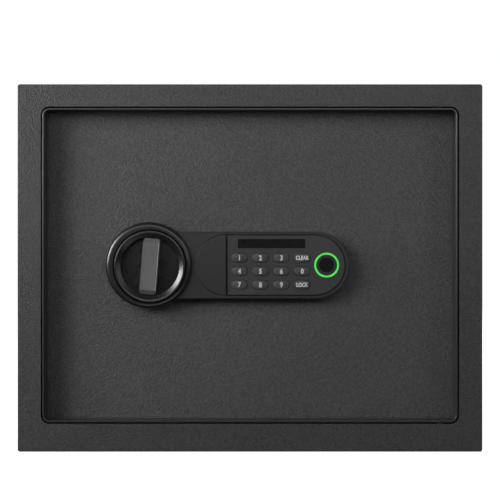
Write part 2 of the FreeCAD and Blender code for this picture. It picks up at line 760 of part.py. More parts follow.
def lock_case():
    """Pill-shaped moulding with a raised round bezel, hollow behind the keys."""
    body = new_body("lock_case")
    m = d.middle
    pad(body, "front", lip_front, panel_front, slot(d.bezel_place, d.case_end, m, d.case_half_height))
    dress(body, "Fillet", d.case_round, lambda edge: on_level(edge, lip_front))
    face = slot(d.bezel_place, d.case_end, m, d.case_half_height - d.lip_flat)
    pocket(body, "front", lip_front, d.case_front, face, slope=d.lip_slope)
    pad(body, "front", bezel_front, panel_front, circle(d.bezel_place, m, d.bezel_radius))
    dress(body, "Fillet", d.bezel_round, lambda edge: on_level(edge, bezel_front))
    # pocket for the knob, hollow behind its floor, and the hole for the bush
    pocket(body, "front", bezel_front, d.pocket_floor, circle(*knob_centre, d.knob_radius + d.knob_gap))
    pocket(body, "front", d.pocket_floor, panel_front, circle(*knob_centre, d.spindle_radius + NOSE_WALL))
    hub_wall, ledge, boss_radius = 6, 2.6, 3.2
    hollow = circle(d.bezel_place, m, d.bezel_radius - d.case_wall)
    hub = circle(*knob_centre, d.spindle_radius + hub_wall)
    pocket(body, "front", d.pocket_floor + d.case_wall, panel_front, hollow, hub)
    # one shallow recess takes the emergency cover and the faceplate
    recess = slot(d.cover_centre, d.face_centre, m, d.recess_radius)
    pocket(body, "front", d.case_front, recess_floor, recess)
    # hollow for the keypad: a window in the face, wider behind it
    window = round_end(cavity_left, d.face_centre, m, d.recess_radius - ledge)
    pocket(body, "front", recess_floor, cavity_front, window)
    inside = round_end(cavity_left, d.case_end, m, d.case_half_height - d.case_wall)
    bosses = [circle(x, z, boss_radius) for x, z in screw_places()[2:]]
    pocket(body, "front", cavity_front, panel_front, inside)
    board_back, board_play = d.board_front + d.board_thickness, 0.1
    pad(body, "front", board_back + board_play, panel_front, *bosses)
    # well of the emergency keyhole, its hinge relief and its pintle holes
    well_ledge, relief_reach, relief_depth, relief_inset = 2.7, 2.9, 2.6, 0.2
    well = round_end(well_right, d.cover_centre, m, d.recess_radius - well_ledge, -1)
    pocket(body, "front", recess_floor, d.well_floor, well)
    relief_rise = d.recess_radius - relief_inset
    relief = box(d.cover_hinge - relief_reach, m - relief_rise, well_right, m + relief_rise)
    pocket(body, "front", recess_floor, recess_floor + relief_depth, relief)
    pocket(body, "front", d.well_floor, panel_front, circle(d.lock_place, m, d.barrel_radius))
    pin_play, hole_rise = 0.1, COVER_PIN_REACH + LOOSE
    pin_hole = circle(d.cover_hinge, d.cover_hinge_depth, d.cover_pin + pin_play)
    pocket(body, "top", m - hole_rise, m + hole_rise, pin_hole)
    screws = [circle(x, z, d.small_screw) for x, z in screw_places()]
    pocket(body, "front", panel_front - d.screw_grip, panel_front, *screws)


def key_columns():
    return [d.key_left + d.key_pitch * column for column in range(4)]


def key_rows():
    return [d.key_top - d.row_pitch * row for row in range(3)]


def key_outline(x, z, spare=0):
    radius = d.key_height / 2
    reach = d.key_width / 2 - radius
    return slot(x - reach, x + reach, z, radius + spare)


WINDOW_CORNER = 0.6


def display_window(spare=0):
    """Outline of the display, with a margin around it."""
    left, right = d.display_left - spare, d.display_right + spare
    return rounded_box(left, d.display_low - spare, right, d.display_high + spare, WINDOW_CORNER)


def keypad_faceplate():
    body = new_body("keypad_faceplate")
    holes = [key_outline(x, z, d.key_gap) for x in key_columns() for z in key_rows()]
    holes.append(display_window())
    holes.append(circle(d.sensor_place, d.middle, d.ring_radius))
    outline = round_end(d.face_left, d.face_centre, d.middle, d.face_radius)
    pad(body, "front", face_lip_front, face_back, outline)
    dress(body, "Chamfer", d.face_bevel, lambda edge: on_level(edge, face_lip_front))
    lip_crest = 0.15
    inset = d.face_bevel + lip_crest
    inner = round_end(d.face_left + inset, d.face_centre, d.middle, d.face_radius - inset)
    pocket(body, "front", face_lip_front, face_front, inner, slope=d.lip_slope)
    pocket(body, "front", face_front, face_back, *holes)


def display_lens():
    body = new_body("display_lens")
    sunk, lip, lip_depth = 0.3, 0.7, 0.8
    pad(body, "front", face_front + sunk, face_back, display_window())
    pad(body, "front", face_back, face_back + lip_depth, display_window(lip))


def sensor_light_ring():
    body = new_body("sensor_light_ring")
    outside, inside = (circle(d.sensor_place, d.middle, radius) for radius in (d.ring_radius, d.bezel_inner))
    stand = 0.2
    pad(body, "front", face_front - stand, d.board_front, outside, inside)


def fingerprint_sensor():
    body = new_body("fingerprint_sensor")
    module = circle(d.sensor_place, d.middle, d.bezel_inner)
    pad(body, "front", face_front, d.board_front, module)
    pocket(body, "front", face_front, face_back, circle(d.sensor_place, d.middle, d.glass_radius))


def sensor_window():
    centre, sunk = (d.sensor_place, d.middle), 0.5
    finished(rod("sensor_window", d.glass_radius, centre, face_front + sunk, face_back), "sensor_window")


def keypad_board():
    body = new_body("keypad_board")
    back = d.board_front + d.board_thickness
    play = 0.4
    edge = d.case_half_height - d.case_wall - play
    outline = round_end(cavity_left + play, d.case_end, d.middle, edge)
    pad(body, "front", d.board_front, back, outline)
    # connector on the back for the lead through the door
    left, right, half_height, depth = 6, 22, 5, 3
    connector = box(left, d.middle - half_height, right, d.middle + half_height)
    pad(body, "front", back, back + depth, connector)


SWITCH_HEIGHT = 0.9


def key_switches():
    """Twelve small switches on the board, one behind each key."""
    half = 2
    switches = []
    for column, x in enumerate(key_columns()):
        for row, z in enumerate(key_rows()):
            low = (x - half, d.board_front - SWITCH_HEIGHT, z - half)
            high = (x + half, d.board_front, z + half)
            switches.append(block(f"switch_{column}_{row}", low, high))
    group("key_switches", *switches)


def spindle_bush():
    """Flanged bush in the door panel, with a nose in the lock case."""
    front, seat = d.pocket_floor + d.case_wall, panel_back
    running_fit, flange_width, flange_steel, nose_gap = 0.1, 5.5, 1.5, 0.2
    outer, bore = d.spindle_radius + d.bush_wall, d.spindle_radius + running_fit
    flange, flange_back = d.spindle_radius + flange_width, seat + flange_steel
    nose, nose_front = d.spindle_radius + NOSE_WALL, front + nose_gap
    body = new_body("spindle_bush")
    points = [(bore, nose_front), (nose, nose_front), (nose, panel_front), (outer, panel_front)]
    points += [(outer, seat), (flange, seat), (flange, flange_back), (bore, flange_back)]
    turned(body, *knob_centre, points)


def case_screw(name, centre):
    """Pan-head screw from behind the door panel into the lock case."""
    head_radius, head_height = 3, 2
    shank = rod(name + "_shank", d.small_screw, centre, panel_front - d.screw_grip, panel_back)
    head = rod(name + "_head", head_radius, centre, panel_back, panel_back + head_height)
    whole = doc.addObject("Part::MultiFuse", name)
    whole.Shapes = [shank, head]
    return whole


def lock_case_screws():
    screws = [case_screw(f"case_screw_{i}", place) for i, place in enumerate(screw_places())]
    group("lock_case_screws", *screws)


pan_top, pan_foot = d.middle + d.pan_half_height, d.middle - d.pan_half_height
PAN_FLANGE = 10
PAN_SCREWS = (-135, -10, 115)


def pan_screw_places():
    """Centres of the screws that hold the boltwork cover's flanges."""
    heights = (pan_foot - PAN_FLANGE / 2, pan_top + PAN_FLANGE / 2)
    return [(x, z) for x in PAN_SCREWS for z in heights]


def boltwork_cover():
    """Folded pan over the mechanism, with a flange along its top and foot."""
    body = new_body("boltwork_cover")
    steel, corner, bolt_clearance, button_hole = d.pan_steel, 3, 1, 3.4
    flanges = box(d.pan_left + corner, pan_foot - PAN_FLANGE, d.pan_right - corner, pan_top + PAN_FLANGE)
    pad(body, "front", panel_back, panel_back + steel, flanges)
    outside = rounded_box(d.pan_left, pan_foot, d.pan_right, pan_top, corner)
    pad(body, "front", panel_back, d.pan_back, outside)
    inside = rounded_box(
        d.pan_left + steel, pan_foot + steel, d.pan_right - steel, pan_top - steel, corner - steel
    )
    pocket(body, "front", panel_back, d.pan_back - steel, inside)
    radius = d.bolt_radius + bolt_clearance
    bolt_holes = [circle(d.bolt_depth, height, radius) for height in bolt_heights.values()]
    pocket(body, "side", d.pan_left, d.pan_left + steel, *bolt_holes)
    battery_window = box(d.tray_left, d.tray_low, d.tray_right, d.tray_high)
    button_window = circle(*reset_place, button_hole)
    pocket(body, "front", d.pan_back - steel, d.pan_back, battery_window, button_window)
    screw_holes = [circle(x, z, d.sheet_screw) for x, z in pan_screw_places()]
    pocket(body, "front", panel_back, panel_back + steel, *screw_holes)


def cover_screws():
    screws = []
    seat, start = panel_back + d.pan_steel, panel_back - PAN_SCREW_GRIP
    head_radius, head_height = 3.2, 2
    for i, centre in enumerate(pan_screw_places()):
        shank = rod(f"cover_screw_shank_{i}", d.sheet_screw, centre, start, seat)
        head = rod(f"cover_screw_head_{i}", head_radius, centre, seat, seat + head_height)
        whole = doc.addObject("Part::MultiFuse", f"cover_screw_{i}")
        whole.Shapes = [shank, head]
        screws.append(whole)
    group("cover_screws", *screws)


def bolt_guide_bracket():
    """Angle on the door panel whose upright web guides the three bolts."""
    left, web, foot, web_back = -157.5, 2.5, -143, 47
    low, high = d.middle - d.carriage_half_height, d.middle + d.carriage_half_height
    body = new_body("bolt_guide_bracket")
    pad(body, "front", panel_back, panel_back + web, box(left, low, foot, high))
    pad(body, "side", left, left + web, box(panel_back, low, web_back, high))
    radius = d.bolt_radius + LOOSE
    holes = [circle(d.bolt_depth, height, radius) for height in bolt_heights.values()]
    pocket(body, "side", left, left + web, *holes)


STUD_PLACE, STUD_RADIUS = -108, 3


def carriage_studs():
    """Two shouldered studs that the carriage's long slots run on."""
    studs = []
    foot_radius, head_radius, head_back = 5, 5.5, carriage_back + 2
    front, back = d.carriage_front - LOOSE, carriage_back + LOOSE
    for name, side in (("upper", 1), ("lower", -1)):
        centre = (STUD_PLACE, d.middle + side * d.stud_rise)
        foot = rod(name + "_stud_foot", foot_radius, centre, panel_back, front)
        neck = rod(name + "_stud_neck", STUD_RADIUS, centre, front, back)
        head = rod(name + "_stud_head", head_radius, centre, back, head_back)
        whole = doc.addObject("Part::MultiFuse", name + "_stud")
        whole.Shapes = [foot, neck, head]
        studs.append(whole)
    group("carriage_studs", *studs)


# ---------------------------------------------------------------- electric lock

FRAME_LOW, FRAME_HIGH, FRAME_HALF, FRAME_STEEL = 36, 68, 13, 2
PLUNGER_PLAY = 0.4


def solenoid_frame():
    """C-shaped frame on the door panel, with a hole for the plunger in each arm."""
    body = new_body("solenoid_frame")
    arm, reach = FRAME_STEEL, d.plunger_depth + 11
    section = polygon(
        (panel_back, FRAME_LOW),
        (reach, FRAME_LOW),
        (reach, FRAME_LOW + arm),
        (panel_back + arm, FRAME_LOW + arm),
        (panel_back + arm, FRAME_HIGH - arm),
        (reach, FRAME_HIGH - arm),
        (reach, FRAME_HIGH),
        (panel_back, FRAME_HIGH),
    )
    pad(body, "side", d.lock_place - FRAME_HALF, d.lock_place + FRAME_HALF, section)
    hole = circle(d.lock_place, d.plunger_depth, d.plunger_radius + PLUNGER_PLAY)
    pocket(body, "top", FRAME_LOW, FRAME_HIGH, hole)


def solenoid_coil():
    axis = (d.lock_place, d.plunger_depth)
    low, high, radius = FRAME_LOW + FRAME_STEEL, FRAME_HIGH - FRAME_STEEL, 10.5
    winding = post("coil_winding", radius, axis, low, high)
    bore_radius = d.plunger_radius + PLUNGER_PLAY
    bore = post("coil_bore", bore_radius, axis, low - OVERRUN, high + OVERRUN)
    finished(cut("solenoid_coil", winding, bore), "solenoid_coil")


COLLAR_HIGH, COLLAR_HEIGHT, COLLAR_WIDTH = 30, 1.5, 2


def solenoid_plunger():
    """Plunger with a collar near its end that the spring presses on."""
    axis = (d.lock_place, d.plunger_depth)
    tail = 2
    stem = post("plunger_stem", d.plunger_radius, axis, d.plunger_tip, FRAME_HIGH + tail)
    radius = d.plunger_radius + COLLAR_WIDTH
    collar = post("plunger_collar", radius, axis, COLLAR_HIGH - COLLAR_HEIGHT, COLLAR_HIGH)
    joined("solenoid_plunger", stem, collar)


def plunger_spring():
    """Compression spring between the collar and the frame: a helix of short straight lengths."""
    wire, turns, steps, play = 0.35, 4.4, 16, 1.1
    radius = d.plunger_radius.number + play
    end_gap = play * wire
    low, high = COLLAR_HIGH + end_gap, FRAME_LOW - end_gap
    count = int(turns * steps)
    points = []
    for i in range(count + 1):
        turn = 2 * math.pi * i / steps
        points.append(Vector(radius * math.cos(turn), radius * math.sin(turn), (high - low) * i / count))
    section = Part.Wire(Part.Circle(points[0], points[1] - points[0], wire).toShape())
    spring = doc.addObject("Part::Feature", "plunger_spring")
    spring.Shape = Part.makePolygon(points).makePipeShell([section], True, False, 1)
    spring.Placement = Placement(Vector(d.lock_place.number, d.plunger_depth.number, low), Rotation())
    finished(spring, "plunger_spring")


# ---------------------------------------------------------------- emergency lock

BARREL_FRONT, BARREL_BACK = 8, 35.5
PLUG_FRONT, PLUG_BACK = BARREL_FRONT - 0.3, BARREL_BACK + 0.5


def key_cylinder():
    body = new_body("key_cylinder")
    running_fit, collar_width, collar_height = 0.1, 0.7, 1.5
    outer, bore, collar = d.barrel_radius, d.plug_radius + running_fit, d.barrel_radius + collar_width
    seat, collar_front = d.well_floor, d.well_floor - collar_height
    points = [(bore, BARREL_FRONT), (outer, BARREL_FRONT), (outer, collar_front), (collar, collar_front)]
    points += [(collar, seat), (outer, seat), (outer, BARREL_BACK), (bore, BARREL_BACK)]
    turned(body, d.lock_place, d.middle, points)


def key_plug():
    """Turning plug with its keyway."""
    body = new_body("key_plug")
    half_width, half_height, depth = 0.8, 4.2, 20.3
    left, right = d.lock_place - half_width, d.lock_place + half_width
    pad(body, "front", PLUG_FRONT, PLUG_BACK, circle(d.lock_place, d.middle, d.plug_radius))
    keyway = box(left, d.middle - half_height, right, d.middle + half_height)
    pocket(body, "front", PLUG_FRONT, PLUG_FRONT + depth, keyway)


def key_lever():
    """Arm on the back of the plug; it points left and turns up to lift the plunger."""
    body = new_body("key_lever")
    half, back = 3, PLUG_BACK + 2
    tip = d.lock_place - d.lever_length + half
    pad(body, "front", PLUG_BACK, back, slot(tip, d.lock_place, d.middle, half))
    hub = circle(d.lock_place, d.middle, d.plug_radius)
    pad(body, "front", PLUG_BACK, back, hub)


def emergency_cover():
    """D-shaped cover with pintles moulded on its straight side."""
    body = new_body("emergency_cover")
    m = d.middle
    back = recess_floor
    bend_shift, knuckle_radius, knuckle_rise = 0.6, 1.4, 24
    outline = round_end(d.cover_edge, d.cover_centre - bend_shift, m, d.cover_radius, -1)
    pad(body, "front", d.case_front, back, outline)
    dress(body, "Fillet", d.cover_round, lambda edge: on_level(edge, d.case_front))
    knuckle = circle(d.cover_hinge, d.cover_hinge_depth, knuckle_radius)
    pad(body, "top", m - knuckle_rise, m + knuckle_rise, knuckle)
    pin = circle(d.cover_hinge, d.cover_hinge_depth, d.cover_pin)
    pad(body, "top", m - COVER_PIN_REACH, m + COVER_PIN_REACH, pin)


# ---------------------------------------------------------------- knob and boltwork


def knob_body():
    """Dished knob: a rounded crest near its edge, a sloping ring, an upright wall and a flat floor."""
    body = new_body("knob_body")
    shoulder, crest_drop, lip_bevel = 1.2, 0.2, 0.8
    points = [
        (0, d.knob_back),
        (d.knob_radius, d.knob_back),
        (d.knob_radius, d.knob_front + shoulder),
        (d.knob_crest + d.crest_round, d.knob_front + crest_drop),
        (d.knob_crest, d.knob_front),
        (d.knob_crest - d.crest_round, d.knob_front + crest_drop),
        (d.dish_lip, d.knob_front + d.lip_drop),
        (d.dish_radius, d.knob_front + d.lip_drop + lip_bevel),
        (d.dish_radius, d.dish_floor),
        (0, d.dish_floor),
    ]
    turned(body, *knob_centre, points)


def knob_grip():
    """Bar across the dish, with round corners, sloping ends and a shallow channel along its front."""
    half_width, half_length = d.grip_width / 2, d.grip_length / 2
    front, slope_foot = d.grip_front, d.grip_front + d.grip_drop
    channel_bevel = 0.4
    channel, channel_edge = front + d.grip_channel, half_width - d.grip_bevel - channel_bevel
    # The piece is drawn upright about the frame's origin and set on the knob by its own placement.
    views = [doc.addObject("PartDesign::Body", "knob_grip_" + view) for view in ("plan", "side", "section")]
    plan, side, section = views
    outline = rounded_box(-half_width, -half_length, half_width, half_length, d.grip_corner)
    pad(plan, "front", front, d.dish_floor, outline)
    leaning = polygon(
        (d.dish_floor, -half_length),
        (d.dish_floor, half_length),
        (slope_foot, half_length),
        (front, half_length - d.grip_slope),
        (front, d.grip_slope - half_length),
        (slope_foot, -half_length),
    )
    pad(side, "side", -half_width, half_width, leaning)
    across = polygon(
        (-half_width, d.dish_floor),
        (-half_width, front + d.grip_bevel),
        (d.grip_bevel - half_width, front),
        (-channel_edge, channel),
        (channel_edge, channel),
        (half_width - d.grip_bevel, front),
        (half_width, front + d.grip_bevel),
        (half_width, d.dish_floor),
    )
    pad(section, "top", -half_length, half_length, across)
    grip = doc.addObject("Part::MultiCommon", "knob_grip")
    grip.Shapes = views
    grip.Placement = Placement(Vector(), Rotation(Vector(0, 1, 0), d.grip_tilt.number))
    bind(grip, "Placement.Base.x", d.knob_place)
    bind(grip, "Placement.Base.z", d.knob_level)
    bind(grip, "Placement.Rotation.Angle", d.grip_tilt)
    finished(grip, "knob_grip")


CAM_SCREW_RADIUS, CAM_SCREW_LENGTH = 1.6, 8


def knob_spindle():
    """Round shaft from the knob to the cam, tapped at its end."""
    shaft = rod("spindle_shaft", d.spindle_radius, knob_centre, d.knob_back, cam_back)
    hole_front, hole_back = cam_back - CAM_SCREW_LENGTH, cam_back + OVERRUN
    tapping = rod("spindle_tapping", CAM_SCREW_RADIUS, knob_centre, hole_front, hole_back)
    finished(cut("knob_spindle", shaft, tapping), "knob_spindle")


def crank_pin_place():
    """Where the drive pin stands at rest."""
    turn = math.radians(d.crank_angle.number)
    across, up = d.crank_radius * math.cos(turn), d.crank_radius * math.sin(turn)
    return d.knob_place + across, d.knob_level + up


def drive_cam():
    """Round cam plate with a pin that runs in the carriage's upright slot."""
    body = new_body("drive_cam")
    margin, pin_back = 5, carriage_back + 1
    disc, hole = circle(*knob_centre, d.crank_radius + margin), circle(*knob_centre, d.spindle_radius)
    pad(body, "front", d.cam_front, cam_back, disc, hole)
    pad(body, "front", cam_back, pin_back, circle(*crank_pin_place(), d.crank_pin_radius))


def cam_screw():
    """Screw in the spindle's end, with a wide head that holds the cam."""
    head_radius, head_height = 4.2, 1.5
    shank = rod("cam_screw_shank", CAM_SCREW_RADIUS, knob_centre, cam_back - CAM_SCREW_LENGTH, cam_back)
    head = rod("cam_screw_head", head_radius, knob_centre, cam_back, cam_back + head_height)
    joined("cam_screw", shank, head)


TAB_LEFT, TAB_WIDTH = 4.8, 6


def bolt_carriage():
    """Sliding plate: a folded edge carries the bolts, an arm carries the tab that the plunger blocks."""
    body = new_body("bolt_carriage")
    m = d.middle
    steel = d.carriage_steel
    foot, top = m - d.carriage_half_height, m + d.carriage_half_height
    pin_x, pin_z = crank_pin_place()
    tab = d.lock_place + TAB_LEFT
    arm_low, arm_high, tab_rise = 13, 17, 5
    drop, lift, slant = 20, 24, 14
    plate = polygon(
        (d.carriage_left, foot),
        (d.arm_left, foot),
        (d.arm_left, m - drop - slant),
        (d.carriage_right, m - drop),
        (d.carriage_right, arm_low),
        (tab + TAB_WIDTH, arm_low),
        (tab + TAB_WIDTH, arm_high + tab_rise),
        (tab, arm_high + tab_rise),
        (tab, arm_high),
        (d.carriage_right, arm_high),
        (d.carriage_right, m + lift),
        (d.arm_left, m + lift + slant),
        (d.arm_left, top),
        (d.carriage_left, top),
    )
    pin_play, stud_play, slot_corner, fold_back = 0.5, 0.2, 1, 46
    half_gap = d.crank_pin_radius + pin_play
    slot_top = d.knob_level + d.crank_radius + half_gap
    pin_slot = rounded_box(pin_x - half_gap, pin_z - half_gap, pin_x + half_gap, slot_top, slot_corner)
    start, end = STUD_PLACE - stud_play, STUD_PLACE + d.bolt_throw + stud_play
    radius = STUD_RADIUS + stud_play
    stud_slots = [slot(start, end, m + side * d.stud_rise, radius) for side in (-1, 1)]
    pad(body, "front", d.carriage_front, carriage_back, plate, pin_slot, *stud_slots)
    fold = box(carriage_back, foot, fold_back, top)
    pad(body, "side", d.carriage_left, d.carriage_left + steel, fold)
    spigots = [circle(d.bolt_depth, height, d.spigot_radius) for height in bolt_heights.values()]
    pocket(body, "side", d.carriage_left, d.carriage_left + steel, *spigots)


def locking_bolt(name, height):
    """Round bolt with a bevelled end and a spigot riveted in the carriage."""
    body = new_body(name + "_bolt")
    bevel, spigot_end = 1, d.carriage_left + d.carriage_steel
    pad(body, "side", d.bolt_tip, d.carriage_left, circle(d.bolt_depth, height, d.bolt_radius))
    dress(body, "Chamfer", bevel, lambda edge: on_level(edge, d.bolt_tip, "X"))
    pad(body, "side", d.carriage_left, spigot_end, circle(d.bolt_depth, height, d.spigot_radius))


# ---------------------------------------------------------------- electronics on the door

reset_place = (108, 62)
BOARD_DEPTH = 40
tray_front = d.pan_back - d.pan_steel - d.tray_depth
tray_floor = tray_front + d.tray_wall
CHANNEL_FRONT, CHANNEL_BACK, CHANNEL_PLAY = 0.3, 2.1, 1


def battery_tray():
    """Moulded tray for four cells, with rails for its lid and posts for the main board."""
    body = new_body("battery_tray")
    wall, lip = d.tray_wall, d.tray_lip
    outer = box(d.tray_left, d.tray_low, d.tray_right, d.tray_high)
    pad(body, "front", tray_front, d.pan_back, outer)
    inner = box(d.tray_left + wall, d.tray_low + wall, d.tray_right - wall, d.tray_high - wall)
    pocket(body, "front", tray_floor, d.pan_back, inner)
    rail_outer = box(d.tray_left - lip, d.tray_low - lip, d.tray_right + lip, d.tray_high + lip)
    pad(body, "front", d.pan_back, d.pan_back + lip, rail_outer, inner)
    # channel for the lid, open at the foot, and the mouth over it between the lips
    left, right = d.tray_left - CHANNEL_PLAY, d.tray_right + CHANNEL_PLAY
    channel = box(left, d.tray_low - lip, right, d.tray_high + CHANNEL_PLAY)
    pocket(body, "front", d.pan_back + CHANNEL_FRONT, d.pan_back + CHANNEL_BACK, channel)
    mouth = box(d.tray_left + wall, d.tray_low - lip, d.tray_right - wall, d.tray_high - wall)
    pocket(body, "front", d.pan_back + CHANNEL_BACK, d.pan_back + lip, mouth)
    # plate that carries on upwards inside the cover and holds the main board on posts
    plate_top, post_radius, post_inset, post_heights = 100, 2.5, 5, (30, 94)
    pad(body, "front", tray_front, tray_floor, box(d.tray_left, d.tray_high, d.tray_right, plate_top))
    sides = (d.tray_left + post_inset, d.tray_right - post_inset)
    posts = [circle(x, z, post_radius) for x in sides for z in post_heights]
    pad(body, "front", tray_floor, BOARD_DEPTH, *posts)


def battery_lid():
    """Sliding lid in the tray's rails, with a grooved thumb pad."""
    body = new_body("battery_lid")
    play, margin, foot = 0.15, 0.8, 2.6
    front, back = d.pan_back + CHANNEL_FRONT + play, d.pan_back + CHANNEL_BACK - play
    outline = box(d.tray_left - margin, d.tray_low - foot, d.tray_right + margin, d.tray_high + margin)
    pad(body, "front", front, back, outline)
    rib_left, rib_right, rib_width, rib_height, rib_pitch = 98, 118, 1.2, 0.65, 3
    for step in range(3):
        low = d.tray_low + 4 + rib_pitch * step
        rib = box(rib_left, low, rib_right, low + rib_width)
        pad(body, "front", back, back + rib_height, rib)


def aa_batteries():
    """Four cells side by side, every other one upside down, each with its nipple."""
    cells = []
    count, gap, nipple_radius, nipple_height = 4, 0.4, 2.7, 1
    pitch = 2 * d.cell_radius + gap
    low = (d.tray_low + d.tray_high) / 2 - d.cell_length / 2
    high = low + d.cell_length
    shoulder = high - nipple_height
    for i in range(count):
        x = (d.tray_left + d.tray_right) / 2 + pitch * (i - (count - 1) / 2)
        axis = (x, tray_floor + d.cell_radius + LOOSE)
        can = post(f"cell_can_{i}", d.cell_radius, axis, low, shoulder)
        nipple = post(f"cell_nipple_{i}", nipple_radius, axis, shoulder, high)
        whole = doc.addObject("Part::MultiFuse", f"cell_{i}")
        whole.Shapes = [can, nipple]
        cells.append(whole)
    group("aa_batteries", *cells)


RESET_SWITCH_HEIGHT = 4


def control_board():
    """Main board on the tray's posts, with its largest components."""
    body = new_body("control_board")
    low, high, inset = 26, 98, 1
    relay, chip, capacitor, part_height = (86, 34, 98, 46), (114, 34, 130, 44), (84, 78, 92, 90), 3
    top = BOARD_DEPTH + d.board_thickness
    pad(body, "front", BOARD_DEPTH, top, box(d.tray_left + inset, low, d.tray_right - inset, high))
    pad(body, "front", top, top + part_height, box(*relay), box(*chip), box(*capacitor))
    # switch under the reset button
    x, z = reset_place
    half = 3
    switch = box(x - half, z - half, x + half, z + half)
    pad(body, "front", top, top + RESET_SWITCH_HEIGHT, switch)


def reset_button():
    """Round push button through the boltwork cover."""
    body = new_body("reset_button")
    travel, radius, stand, flange_radius = 1.7, 3, 2, 4.5
    front = BOARD_DEPTH + d.board_thickness + RESET_SWITCH_HEIGHT + travel
    pad(body, "front", front, d.pan_back + stand, circle(*reset_place, radius))
    pad(body, "front", front, d.pan_back - d.pan_steel - LOOSE, circle(*reset_place, flange_radius))


def key_piece(label, x, z):
    """Push key: domed cap with a soft edge, a flange behind the faceplate and a stem."""
    body = doc.addObject("PartDesign::Body", label + "_blank")
    gap, flange_steel, flange_width, stem_gap, stem_radius = 0.1, 1, 0.9, 0.2, 1.5
    flange_front, flange_back = face_back + gap, face_back + gap + flange_steel
    stem_back = d.board_front - SWITCH_HEIGHT - d.key_travel - stem_gap
    pad(body, "front", key_front, flange_front, key_outline(x, z))
    pad(body, "front", flange_front, flange_back, key_outline(x, z, flange_width))
    pad(body, "front", flange_back, stem_back, circle(x, z, stem_radius))
    ball = doc.addObject("Part::Sphere", label + "_dome")
    bind(ball, "Radius", d.key_dome)
    for axis, place in zip("xyz", (x, key_front + d.key_dome, z)):
        bind(ball, f"Placement.Base.{axis}", place)
    domed = doc.addObject("Part::Common", label + "_domed")
    domed.Base = body
    domed.Tool = ball
    doc.recompute()
    rim = face_front.number
    fronts = [i for i, edge in enumerate(domed.Shape.Edges, start=1) if edge.BoundBox.YMax < rim]
    key = doc.addObject("Part::Fillet", label)
    key.Base = domed
    key.Edges = [(i, d.key_round.number, d.key_round.number) for i in fronts]
    finished(key, label)


KEYPAD = [("1", "2", "3", "clear"), ("4", "5", "6", "0"), ("7", "8", "9", "lock")]


def keys():
    for row, z in zip(KEYPAD, key_rows()):
        for legend, x in zip(row, key_columns()):
            key_piece("key_" + legend, x, z)


def build():
    front_flange()
    safe_shell()
    back_panel()
    bolt_strike()
    door_stops()
    hinge_lugs()
    shelf()
    shelf_brackets()
    door_rim()
    door_plate()
    hinge_pins()
    hinge_washer()
    lock_case()
    keypad_faceplate()
    display_lens()
    sensor_light_ring()
    fingerprint_sensor()
    sensor_window()
    keypad_board()
    key_switches()
    spindle_bush()
    lock_case_screws()
    boltwork_cover()
    cover_screws()
    bolt_guide_bracket()
    carriage_studs()
    solenoid_frame()
    solenoid_coil()
    solenoid_plunger()
    plunger_spring()
    key_cylinder()
    key_plug()
    key_lever()
    emergency_cover()
    knob_body()
    knob_grip()
    knob_spindle()
    drive_cam()
    cam_screw()
    bolt_carriage()
    for name, height in bolt_heights.items():
        locking_bolt(name, height)
    battery_tray()
    battery_lid()
    aa_batteries()
    control_board()
    reset_button()
    keys()


def check():
    """Stop if anything failed to build, before a file is written."""
    doc.recompute()
    for item in doc.Objects:
        if "Invalid" in item.State or "Error" in item.State:
            raise RuntimeError(f"{item.Label} did not build: {item.State}")
    for item in pieces:
        if item.Shape.isNull() or not item.Shape.isValid() or not item.Shape.Solids:
            raise RuntimeError(f"{item.Label} has no valid shape")


build()
check()
os.makedirs("parts", exist_ok=True)
for piece in pieces:
    piece.Shape.exportStep(f"parts/{piece.Label}.step")
    print(f"{piece.Label}: {len(piece.Shape.Solids)} solid(s), {piece.Shape.Volume / 1000:.2f} cm3")
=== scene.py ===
import math

import bmesh
import bpy
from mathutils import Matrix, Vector
from mathutils.bvhtree import BVHTree


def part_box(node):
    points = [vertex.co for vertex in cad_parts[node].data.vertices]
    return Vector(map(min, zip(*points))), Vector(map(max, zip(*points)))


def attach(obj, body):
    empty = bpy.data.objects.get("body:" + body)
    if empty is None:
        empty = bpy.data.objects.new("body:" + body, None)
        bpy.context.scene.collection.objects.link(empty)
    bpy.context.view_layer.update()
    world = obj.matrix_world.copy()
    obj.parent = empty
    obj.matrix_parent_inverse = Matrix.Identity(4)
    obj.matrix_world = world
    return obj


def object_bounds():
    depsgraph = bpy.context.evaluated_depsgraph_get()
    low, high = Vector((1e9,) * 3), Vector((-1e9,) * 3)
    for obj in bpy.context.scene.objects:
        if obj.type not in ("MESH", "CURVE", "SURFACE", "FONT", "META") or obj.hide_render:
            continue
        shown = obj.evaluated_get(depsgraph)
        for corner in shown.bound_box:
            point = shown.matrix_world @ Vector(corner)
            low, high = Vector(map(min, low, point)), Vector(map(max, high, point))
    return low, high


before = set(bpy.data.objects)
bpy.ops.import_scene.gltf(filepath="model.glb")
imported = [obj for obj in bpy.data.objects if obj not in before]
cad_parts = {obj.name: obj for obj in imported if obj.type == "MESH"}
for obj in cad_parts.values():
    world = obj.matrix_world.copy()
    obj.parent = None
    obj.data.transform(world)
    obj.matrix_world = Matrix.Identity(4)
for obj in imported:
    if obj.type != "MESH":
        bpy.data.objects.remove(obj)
CAD_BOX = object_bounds()
MM = 0.001

# Camera: straight on, its axis a little above the middle of the flange.
VIEW_WIDTH = 421.5 * MM
CAMERA_HEIGHT = 15.2 * MM
CAMERA_DISTANCE = 1.02
SENSOR_WIDTH = 36.0
FAR_CLIP = 50.0

# Studio, in metres, watts and degrees. The floor and backdrop are white to the camera; AMBIENT is
# the strength of the soft light that reaches the object from all round.
FLOOR_HALF_WIDTH = 30.0
FLOOR_GLOW = 1.0
BACKDROP_GLOW = 1.02
AMBIENT = 0.02
WHITE = (1, 1, 1, 1)
